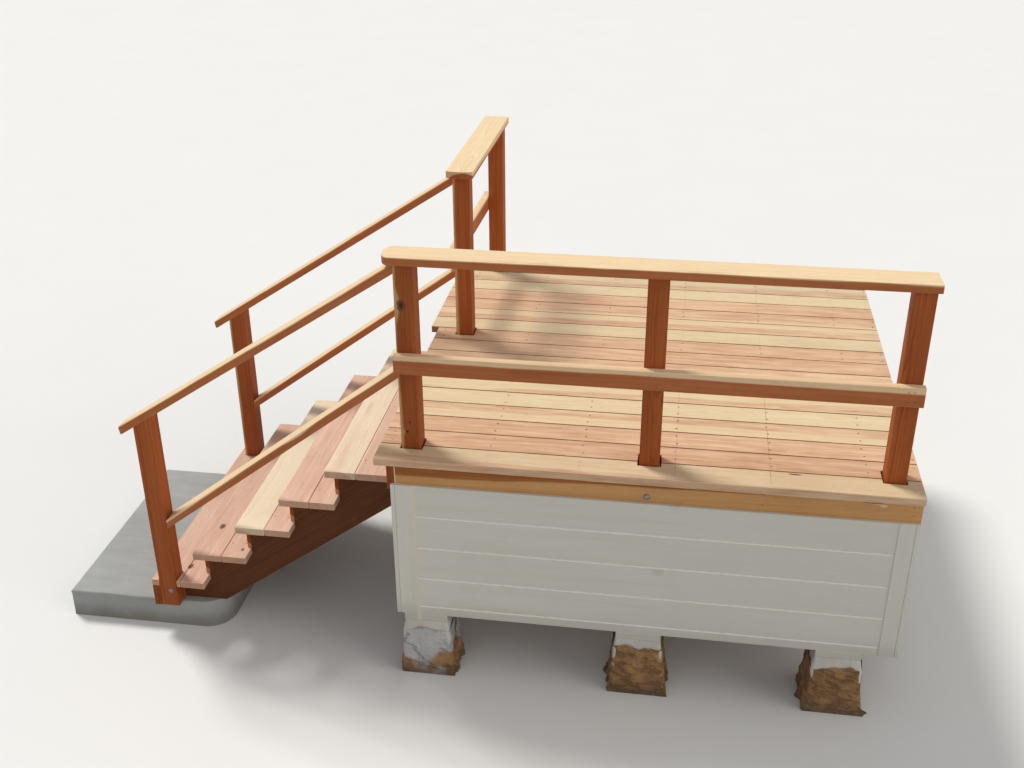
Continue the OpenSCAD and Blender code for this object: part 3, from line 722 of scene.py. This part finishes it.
def sloped_rail(name, newel_y, post, drop, top, rake, clip, r, seed, tone):
    """A rail that falls from its post to its newel, cut square in plan."""
    post_x, post_y = post
    slope = drop / (post_x - NEWEL_R)
    deep = PLANK * sqrt(1 + slope * slope)
    half = POST / 2
    x0 = extent(name)[0]

    def middle(x):
        return (post_y + half + (newel_y - post_y) * (post_x - x) / (post_x - NEWEL_X - half))

    plan = [(x0, half - clip), (x0 + clip, half), (post_x, half), (post_x, -half),
        (x0 + clip, -half), (x0, clip - half)]
    if not clip:
        plan = [q for k, q in enumerate(plan) if k not in (1, 4)]
    bm = bmesh.new()
    rows = [[], []]
    for x, side in plan:
        y = middle(x0 if x < post_x - 1 else post_x) + side
        for row, lift, push in ((rows[0], 0.0, 0.0), (rows[1], deep, rake)):
            xe = x + push if x < x0 + clip + 1 else x
            row.append(bm.verts.new(at(xe, y, top + (xe - post_x) * slope - lift)))
    skin(bm, rows)
    run = at(post_x, middle(post_x), post_x * slope) - at(x0, middle(x0), x0 * slope)
    u = run.normalized()
    v = Z.cross(u).normalized()
    ease(bm, r, 4, limit=0.6, pick=lambda e: any(f.normal.z > 0.5 for f in e.link_faces))
    ease(bm, 2.5, 2, limit=0.9)
    slice_along(bm, u, 0.2)
    p = Piece(name + "_planed")
    # The log centre sits below the rail, so the top comes out pale sapwood: partly real grain,
    # partly painted light on the top.
    p.add(bm, (u, v, u.cross(v)), pith=(-0.040, -0.090), sap=0.1045, tone=tone, hue=0.5, seed=seed)
    p.build(rail_wood, name)


near_post, far_post = (FRONT_POSTS[0], POST_FRONT), (HEAD_X, HEAD_Y)
near_y, far_y = extent("newel_near")[2], extent("newel_far")[2]
HANDRAIL_DROP, HANDRAIL_TOP = 795.0, TOPS - 1
MID_DROP_NEAR, MID_DROP_FAR = 925.0, 900.0
mid_near, mid_far = (extent(f"stair_mid_rail_{side}")[5] for side in ("near", "far"))
sloped_rail("handrail_near", near_y, near_post, HANDRAIL_DROP, HANDRAIL_TOP, 8, 13, 9, 1.1, 0.60)
sloped_rail("handrail_far", far_y, far_post, HANDRAIL_DROP, HANDRAIL_TOP, 8, 13, 9, 2.3, 0.56)
sloped_rail("stair_mid_rail_near", near_y, near_post, MID_DROP_NEAR, mid_near, 0, 0, 6, 3.1, 0.60)
sloped_rail("stair_mid_rail_far", far_y, far_post, MID_DROP_FAR, mid_far, 0, 0, 6, 4.3, 0.58)

NEWELS = {"newel_near": (near_y, near_post, (-0.050, 0.080), 0.30, 0.62),
          "newel_far": (far_y, far_post, (0.050, 0.060), 0.1345, 0.46)}
for name, (y, post, pith, sap, tone) in NEWELS.items():
    slope = HANDRAIL_DROP / (post[0] - NEWEL_R)
    z1 = HANDRAIL_TOP - PLANK * sqrt(1 + slope * slope) - HANDRAIL_DROP
    side = [(NEWEL_X, PAD_TOP), (NEWEL_R, PAD_TOP), (NEWEL_R, z1), (NEWEL_X, z1 - POST * slope)]
    p = Piece(name + "_sawn")
    timber(p, side, (0, 2), y, y + POST, "z", r=4, step=0.3, pith=pith, sap=sap, tone=tone,
        hue=0.45)
    p.build(redwood, name)

# The front and the rear board of each tread: tone, hue, log centre, sapwood.
TREADS = [((0.36, 0.12, 0.03, -0.10, 0.30), (0.42, 0.18, -0.03, -0.09, 0.30)),
          ((0.36, 0.15, 0.05, -0.11, 0.30), (0.42, 0.20, -0.05, -0.09, 0.30)),
          ((0.60, 0.55, -0.05, -0.08, 0.085), (0.50, 0.35, 0.04, -0.10, 0.20)),
          ((0.58, 0.30, 0.04, -0.09, 0.158), (0.50, 0.25, -0.04, -0.11, 0.25)),
          ((0.62, 0.45, -0.03, -0.10, 0.118), (0.54, 0.35, 0.05, -0.09, 0.18))]
TREAD_BOARD = 146.0
for i in range(5):
    x0, x1, y0, y1, z0, z1 = extent(f"tread_{i + 1}")
    split = x0 + TREAD_BOARD
    outline = rect(x0, split, y0, y1)
    if i == 0:
        a, b = NEWEL_X - 2, NEWEL_R + 2
        inner, outer = near_y + POST + 2, far_y - 2
        outline = [(x0, y0), (a, y0), (a, inner), (b, inner), (b, y0), (split, y0), (split, y1),
            (b, y1), (b, outer), (a, outer), (a, y1), (x0, y1)]
    p = Piece(f"tread_{i + 1}_planed")
    rear = rect(split + 2, x1, y0 + rng.uniform(0, 1.5), y1 - 1)
    for shape, drop, (tone, hue, across, up, sap) in zip((outline, rear), (0.3, 0.6), TREADS[i]):
        timber(p, shape, (0, 1), z0, z1 - drop, "y", r=4, step=0.2, uneven=0.5, pith=(across, up),
            sap=sap, tone=tone, hue=hue)
    p.build(tread_wood, f"tread_{i + 1}")

faces = [x + NOSING for x in NOSES]
seats = [z - PLANK for z in TREAD_TOPS]
hang_x = extent("stringer_near")[1]
line = []
for i in range(4, -1, -1):
    line.append((hang_x if i == 4 else faces[i + 1] + THIN, seats[i]))
    line.append((NEWEL_X if i == 0 else faces[i] + THIN, seats[i]))
foot = (faces[1] + THIN, seats[0] - 169)
head = (faces[4] + THIN, seats[3] - 188)
fall = (head[1] - foot[1]) / (head[0] - foot[0])
line += [(NEWEL_X, PAD_TOP), (foot[0] + (PAD_TOP - foot[1]) / fall, PAD_TOP),
    (hang_x, foot[1] + (hang_x - foot[0]) * fall)]
u = Vector((1, 0, fall)).normalized()
for name in ("stringer_near", "stringer_centre", "stringer_far"):
    p = Piece(name + "_cut")
    timber(p, line, (0, 2), *extent(name)[2:4], "x", r=1.6, step=0, uneven=0,
        axes=(u, Y, u.cross(Y)), pith=(0.10, 0.05))
    p.build(stain, name)

p = Piece("bottom_riser_sawn")
x0, x1, y0, y1, z0, z1 = extent("bottom_riser")
block(p, x0, x0 + THIN - 0.4, y0, y1, z0, z1, "y", pith=(0.08, 0.03), tone=0.5)
block(p, x0 + THIN + 0.4, x1, y0 + 2, y1 - 2, z0, z1, "y", pith=(-0.08, 0.03), tone=0.4)
p.build(redwood, "bottom_riser")
p = Piece("risers_planed")
for i in range(1, 5):
    block(p, faces[i], faces[i] + THIN, *extent("risers")[2:4], TREAD_TOPS[i - 1], seats[i], "y",
        r=1.5, pith=(0.06, 0.055), sap=0.112, tone=0.5 + 0.04 * i, hue=0.45)
p.build(redwood, "risers")
single("top_riser", "planed", redwood, "redwood", "y", pith=(0.06, 0.02), hue=0.35)

single("rim_front_outer", "planed", fascia, "redwood", "x", r=2.5, step=0.2, uneven=0.4,
    pith=(0.045, 0.085), sap=0.079, drift=(0.0, 0.03), tone=0.5, hue=0.5, seed=2.2)
x0, x1, y0, y1 = extent("rim_left")[:4]
lap, ply = extent("rim_front_outer")[0], RIM_FACE + PLANK
lapped = [(x0, y0), (lap, y0), (lap, ply), (x1, ply), (x1, y1), (x0, y1)]
single("rim_left", "planed", fascia, "redwood", "y", lapped, pith=(0.06, 0.06), hue=0.5)

# CAD nodes that keep their own shape, and the way their grain runs.
KEPT = {"rim_front_inner": "x", "rim_back": "x", "rim_right": "y", "floor_joists": "y",
        "post_blocking": "x", "stringer_hanger": "y", "skirt_nailer_front": "x",
        "skirt_nailers_side": "y", "pier_posts": "z"}
for node, axis in KEPT.items():
    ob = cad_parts[node]
    ob.data.materials.clear()
    ob.data.materials.append(framing[axis])
    eased = ob.modifiers.new("eased", "BEVEL")
    eased.width, eased.segments, eased.limit_method = 0.002, 2, "ANGLE"

# Five boards to a skirt; all but the top one have a chamfered upper edge.
JOINTS = [SKIRT_LOW, 395.0, 555.0, 725.0, 895.0]
SLIT, CHAMFER, SET_BACK = 2.2, 6.5, 8.0


def siding(name, across, back, front, start, end, top):
    """Skirt boards between depths back and front, running start to end."""
    axis, plane = ("x", (1, 2)) if across == 1 else ("y", (0, 2))
    sign = 1 if front > back else -1
    p = Piece(name + "_boards")
    for k, z0 in enumerate(JOINTS):
        last = k == len(JOINTS) - 1
        z1 = top if last else JOINTS[k + 1] - SLIT
        profile = [(back, z0), (front, z0)]
        if last:
            profile += [(front, z1), (back, z1)]
        else:
            profile += [(front, z1 - CHAMFER), (front - sign * SET_BACK, z1), (back, z1)]
        timber(p, profile, plane, start, end, axis, r=0, step=0.2, pith=(0.05, 0.02))
        if not last:
            # The tongue backing each slit carries the highest hue, which paints it dark: grime and
            # painted shade in the slit.
            tongue = sorted((back, back + sign * 5))
            timber(p, rect(*tongue, z1 - 2, z1 + SLIT + 2), plane, start, end, axis, r=0, step=0,
                uneven=0, tone=0.2, hue=1.0)
    p.build(primer, name)


x0, x1, y0, y1, _, z1 = extent("skirt_front")
siding("skirt_front", 1, y1, y0, x0, x1, z1)
for name, outer in (("skirt_left", 0), ("skirt_right", 1)):
    e = extent(name)
    siding(name, 0, e[1 - outer], e[outer], e[2], e[3], e[5])

for name in ("skirt_corner_left", "skirt_corner_right"):
    x0, x1, y0, y1, z0, z1 = extent(name)
    left = name.endswith("left")
    edge = (x0, x0 + THIN) if left else (x1 - THIN, x1)
    flat = (edge[1] + 0.4, x1) if left else (x0, edge[0] - 0.4)
    p = Piece(name + "_boards")
    block(p, *flat, y0, RIM_FACE, z0, z1, "z", r=1.5, pith=(0.05, 0.05), tone=0.6)
    side = [(y0, z0), (y0, z1), (RIM_FACE, z1), (RIM_FACE, RIM_UNDER), (y1, RIM_UNDER), (y1, z0)]
    timber(p, side, (1, 2), *edge, "z", r=1.5, pith=(0.05, 0.05), tone=0.5)
    p.build(primer, name)


def landing_pad():
    """The poured slab: rounded top edge, one round corner, rough sides."""
    x0, x1, y0, y1, z0, z1 = extent("landing_pad")
    corner = 130.0
    outline = [(x1 - corner + corner * cos(a), y0 + corner + corner * sin(a))
        for a in arc(-90, 0, 12)]
    outline = [(x0, y0), *outline, (x1, y1), (x0, y1)]
    bm = bmesh.new()
    prism(bm, outline, (0, 1), z0, z1)
    ease(bm, 12, 4, limit=0.9, pick=lambda e: all(v.co.z > z1 / 1000 - 1e-6 for v in e.verts))
    ease(bm, 8, 2, limit=0.9, pick=lambda e: abs(e.verts[0].co.z - e.verts[1].co.z) > 0.05)
    for axis, step in ((X, 0.035), (Y, 0.045), (Z, 0.03)):
        slice_along(bm, axis, step)
    middle = at((x0 + x1) / 2, (y0 + y1) / 2, 0)
    worn = at(x1 - 260, 0, 0).x
    for v in bm.verts:
        q = v.co
        lumps = abs(noise.fractal(q * 9, 1.0, 2.0, 4))
        if q.z > z1 / 1000 - 0.001:
            q.z -= 0.0016 * abs(noise.noise(q * 2.1)) + 0.0006 * lumps
        elif q.z > 1e-5:
            out = Vector((q.x - middle.x, q.y - middle.y, 0)).normalized()
            depth = 0.004 + 0.010 * min(1.0, max(0.0, (q.x - worn) / 0.26))
            v.co -= out * (lumps * depth + 0.001) * min(1.0, q.z / 0.02)
    cast("landing_pad_cast", bm, pad_concrete, "landing_pad")


def square(a, half, corner):
    """Distance from the middle to a square's outline, corners rounded."""
    return half / (abs(cos(a)) ** corner + abs(sin(a)) ** corner) ** (1 / corner)


def pier(bm, cx, cy, half, footing, top, lean, seed):
    """A square pier: sides that lean out below the top, worn faces."""
    around = 96
    levels = [(0, footing, 2), (top - lean, footing, 1.5), (top - 3, half + 0.4, 1.5),
        (top, half, 3.5)]
    rows = []
    for (z0, h0, wear), (z1, h1, _) in zip(levels, levels[1:]):
        steps = max(1, round((z1 - z0) / 12))
        rows += [(z0 + (z1 - z0) * k / steps, h0 + (h1 - h0) * k / steps, wear)
            for k in range(steps)]
    rows.append((top, half - 2.5, 3))
    loops = []
    for z, h, wear in rows:
        loop = []
        for k in range(around):
            a = 2 * pi * (k + 0.5) / around
            c, s = cos(a), sin(a)
            spot = Vector((c * 2.6 + seed, s * 2.6, z * 0.014))
            r = square(a, h, 26) - wear * 0.6 * abs(noise.fractal(spot, 0.9, 2.0, 4))
            loop.append(bm.verts.new(at(cx + r * c, cy + r * s, z)))
        loops.append(loop)
    skin(bm, loops)


def torn_wrap(name, cx, cy, half, seed, height, splay, paper):
    """Crumpled paper round the foot of a pier, torn along its top."""
    bm = bmesh.new()
    around, up = 200, 26
    rows = [[] for _ in range(up + 1)]
    for k in range(around):
        a = 2 * pi * k / around
        c, s = cos(a), sin(a)
        wave = noise.noise(Vector((c * 2.2 + seed, s * 2.2, 0.3)))
        tear = noise.fractal(Vector((c * 9 + seed, s * 9, 2.4)), 0.9, 2.0, 3)
        top = height + 26 * wave + 5 * tear
        hem = 0.35 + 1.3 * max(0.0, noise.noise(Vector((c * 2.1, s * 2.1, seed * 2))))
        for j in range(up + 1):
            t = j / up
            # Folds run slanting down the paper, sharper near the floor.
            fold = noise.noise(Vector((c * 3.1 + seed + t * 1.3, s * 3.1, t * 1.8)))
            ridge = 1 - min(1.0, abs(fold) * 4)
            crumple = noise.fractal(Vector((c * 8, s * 8, t * 5 + seed)), 1.0, 2.0, 3)
            r = (square(a, half, 9) + 2 + splay * (1 - t) ** 2.2 * hem
                + (ridge * 11 + abs(crumple) * 7) * (1.1 - t))
            z = max(1.6, top * t + 4 * crumple * (1 - abs(2 * t - 1)))
            y = min(max(cy + r * s, 2.0), DEPTH)
            rows[j].append(bm.verts.new(at(cx + r * c, y, z)))
    skin(bm, rows, caps=False)
    bmesh.ops.solidify(bm, geom=bm.faces[:], thickness=0.0014)
    cast(name, bm, paper)


landing_pad()
x0, x1, y0, y1, _, pier_top = extent("piers")
block_x, block_low, block_high = (extent("pier_blocks")[k] for k in (0, 4, 5))
PIER_HALF = extent("pier_posts")[0] + POST / 2 - block_x
FOOTING = PIER_HALF + block_x - x0
LEAN, MIDDLE_PIER = 60.0, 1203.0
pier_xs = [x0 + FOOTING, MIDDLE_PIER, x1 - FOOTING]
pier_ys = [y0 + FOOTING, y1 - FOOTING]
p = Piece("piers_cast")
for y in pier_ys:
    for x in pier_xs:
        bm = bmesh.new()
        pier(bm, x, y, PIER_HALF, FOOTING, pier_top, LEAN, x * 0.003 + y * 0.01)
        p.add(bm, smooth=False)
p.build(pier_concrete, "piers")
p = Piece("pier_blocks_sawn")
for y in pier_ys:
    for x in pier_xs:
        block(p, x - PIER_HALF, x + PIER_HALF, y - PIER_HALF, y + PIER_HALF, block_low, block_high,
            "x", r=2.5, step=0.05, uneven=0.4, pith=(0.05, 0.03), tone=0.45)
p.build(primer, "pier_blocks")
WRAPS = {"left": (1.7, 268, 44, form_liner), "middle": (4.9, 276, 40, form_paper),
         "right": (8.3, 262, 36, form_paper)}
for x, (name, look) in zip(pier_xs, WRAPS.items()):
    torn_wrap("form_paper_" + name, x, pier_ys[0], FOOTING, *look)


def turned(bm, spot, facing, profile, sides):
    """Rings of vertices round an axis, at (radius, level) in millimetres."""
    t = facing.orthogonal().normalized()
    s = facing.cross(t)
    angles = [2 * pi * k / sides for k in range(sides)]
    spokes = [t * cos(a) + s * sin(a) for a in angles]
    return [[bm.verts.new(spot + spoke * radius / 1000 + facing * level / 1000)
        for spoke in spokes] for radius, level in profile]


def head(bm, spot, facing, r=4.2, proud=0.2, dish=0.8, sides=10):
    """A nail head, sunk or proud of the face by fractions of a millimetre."""
    rows = turned(bm, spot, facing, ((r * 1.08, -0.6), (r, proud)), sides)
    skin(bm, rows, caps=False)
    middle = bm.verts.new(spot + facing * (proud - dish) / 1000)
    for a, b in zip(rows[1], rows[1][1:] + rows[1][:1]):
        bm.faces.new((a, b, middle))


FEET = [(x, POST_FRONT) for x in FRONT_POSTS] + [(HEAD_X, HEAD_Y), (WALL_X, WALL_Y)]


def near_post_foot(x, y):
    return any(a - 14 < x < a + POST + 14 and b - 14 < y < b + POST + 20 for a, b in FEET)


NAIL_ROWS, STRINGER_LINES = (36, 104), (264.0, 808.0, 1372.0)
nails = bmesh.new()
for k in range(17):
    for x in JOISTS + [LENGTH - 19, 48.0 if k < 10 else 80.0]:
        for across in NAIL_ROWS:
            spot = (x + jitter(5), k * PITCH + across + jitter(5))
            if not near_post_foot(*spot):
                head(nails, at(*spot, TOP - 0.5), Z)
for i in range(5):
    back = faces[i + 1] - 8 if i < 4 else 60
    for y in STRINGER_LINES:
        for dx in (22, 118, 172, 240):
            x = NOSES[i] + dx + jitter(5)
            if x < back and not (i == 0 and y != STRINGER_LINES[1] and dx < 140):
                head(nails, at(x, y + jitter(6), TREAD_TOPS[i] - 0.8), Z, 4.4)
for x, y in ((142, 191), (149, 125), (1200, 191), (1206, 136), (2236, 190), (2262, 126),
        (126, 1368), (182, 1376), (140, 1412), (150, 2330), (204, 2352)):
    head(nails, at(x, y, TOPS + PLANK - 0.3), Z, dish=1.2)
rail_front, rail_low, rail_high = (extent("front_mid_rail")[k] for k in (2, 4, 5))
head(nails, at(181.5, rail_front + 19, rail_high - 0.3), Z, 3.5)
for x in (134, 160, 1196, 1222, 2236, 2262):
    for z in (rail_low + 22, rail_low + 68):
        head(nails, at(x + jitter(3), rail_front + 0.3, z), -Y)
for z in (TOP - 70, TOP - 110):
    for x in (120, 640, 1700, 2330):
        head(nails, at(x + jitter(8), RIM_FACE + 0.2, z + jitter(6)), -Y, 4.0)
cast("nail_head_set", nails, nail_steel, smooth=False)
brads, skirt_face = bmesh.new(), extent("skirt_front")[2]
for z in (370, 420, 530, 580, 700, 750, 870, 925, 1030):
    for x in (196, 520, 940, 1400, 1860, 2250):
        spot = at(x + jitter(9), skirt_face + 0.2, z + jitter(4))
        head(brads, spot, -Y, 3.2, sides=8)
cast("skirt_brads", brads, primer, smooth=False)


def carriage_bolt(name, spot, facing, r, washer):
    """A domed bolt head on a washer."""
    bm = bmesh.new()
    profile = [(washer, -1.0), (washer, 1.4), (washer - 1.0, 2.0), (r + 1.0, 2.0)]
    profile += [(r * cos(a), 3.2 + 5.5 * sin(a)) for a in arc(0, 75, 5)]
    skin(bm, turned(bm, spot, facing, profile, 32))
    cast(name, bm, zinc)


BOLT_X, BOLT_Z = -1136.0, 243.0
carriage_bolt("rim_bolt", at(1208.5, RIM_FACE, TOP - 115), -Y, 12.5, 14.0)
carriage_bolt("newel_bolt_near", at(BOLT_X, near_y, BOLT_Z), -Y, 9.5, 13.0)
carriage_bolt("newel_bolt_far", at(BOLT_X, far_y + POST, BOLT_Z), Y, 9.5, 13.0)


def sealant_bead(radius, low, high):
    """A hand-run bead of sealant up the left end of the front rim."""
    spots = [(lap + jitter(0.8), z) for z in range(low, high, 7)]
    bm = bmesh.new()
    rows = []
    for x, z in spots:
        size = radius * rng.uniform(0.75, 1.0)
        rows.append([bm.verts.new(at(x + size * cos(a), RIM_FACE + 1.2 + size * sin(a), z))
            for a in (2 * pi * k / 10 for k in range(10))])
    skin(bm, rows)
    cast("caulk_rim_end", bm, caulk)


sealant_bead(3.4, 1022, 1156)

# The studio: a pale floor that is a little darker as a reflector than it
# looks, so that upright faces keep their depth of colour.
studio = Net("studio_floor")
patches = studio.noise(studio.place() * 1.2, 4)
seen = Val(studio, studio.node("LightPath").outputs["Is Camera Ray"], "n")
pale_floor = studio.mix(patches, (0.86, 0.86, 0.85), (0.83, 0.83, 0.825))
dim_floor = studio.mix(patches, (0.50, 0.50, 0.49), (0.48, 0.48, 0.47))
studio.finish(studio.mix(seen, dim_floor, pale_floor), 0.9, spec=0.2)
SPREAD = 80
me = bpy.data.meshes.new("studio_floor")
me.from_pydata([(x, y, 0) for x, y in rect(-SPREAD, SPREAD, -SPREAD, SPREAD)], [], [(0, 1, 2, 3)])
me.materials.append(studio.mat)
floor = add_object("studio_floor", me)
floor.location.z = -0.0005

world = bpy.data.worlds.new("studio")
bpy.context.scene.world = world
world.use_nodes = True
tree = world.node_tree
sky, out = tree.nodes["Background"], tree.nodes["World Output"]
backdrop, both, path = (tree.nodes.new("ShaderNode" + kind)
    for kind in ("Background", "MixShader", "LightPath"))
sky.inputs["Color"].default_value = (0.97, 0.98, 1.0, 1)
sky.inputs["Strength"].default_value = 0.36
backdrop.inputs["Color"].default_value = (0.90, 0.90, 0.89, 1)
for a, b in ((path.outputs["Is Camera Ray"], both.inputs[0]), (sky.outputs[0], both.inputs[1]),
        (backdrop.outputs[0], both.inputs[2]), (both.outputs[0], out.inputs[0])):
    tree.links.new(a, b)


def lamp(name, travel, strength, angle, colour):
    """A broad, distant lamp whose light travels in the given direction."""
    data = bpy.data.lights.new(name, "SUN")
    data.energy, data.angle, data.color = strength, radians(angle), colour
    ob = add_object(name, data)
    ob.rotation_euler = Vector(travel).to_track_quat("-Z", "Y").to_euler()


lamp("key", (0.55, -0.42, -1.0), 2.25, 16, (1.0, 0.975, 0.93))
lamp("right_fill", (-1.0, 0.25, -0.45), 0.9, 50, (1.0, 0.94, 0.86))
lamp("front_fill", (0.1, 1.0, -0.35), 0.25, 60, (1.0, 0.99, 0.97))

# The camera stands where the photograph's did.
yaw, pitch, roll = (radians(v) for v in (-8.80413, 26.95293, 0.31889))
ahead = Vector((sin(yaw) * cos(pitch), cos(yaw) * cos(pitch), -sin(pitch)))
level = Vector((cos(yaw), -sin(yaw), 0))
under = ahead.cross(level)
right = cos(roll) * level + sin(roll) * under
down = cos(roll) * under - sin(roll) * level
FOCAL_PX, WIDTH_PX, SENSOR = 1180.69555, 1024, 36.0
data = bpy.data.cameras.new("camera")
data.sensor_fit, data.sensor_width = "HORIZONTAL", SENSOR
data.lens = FOCAL_PX * SENSOR / WIDTH_PX
data.clip_start, data.clip_end = 0.05, 400
camera = add_object("camera", data)
EYE = at(1298.387, -4350.580, TOP + 2649.934)
turn = Matrix((right, -down, -ahead)).transposed().to_4x4()
camera.matrix_world = Matrix.Translation(EYE) @ turn
bpy.context.scene.camera = camera
bpy.context.scene.view_settings.view_transform = "Standard"
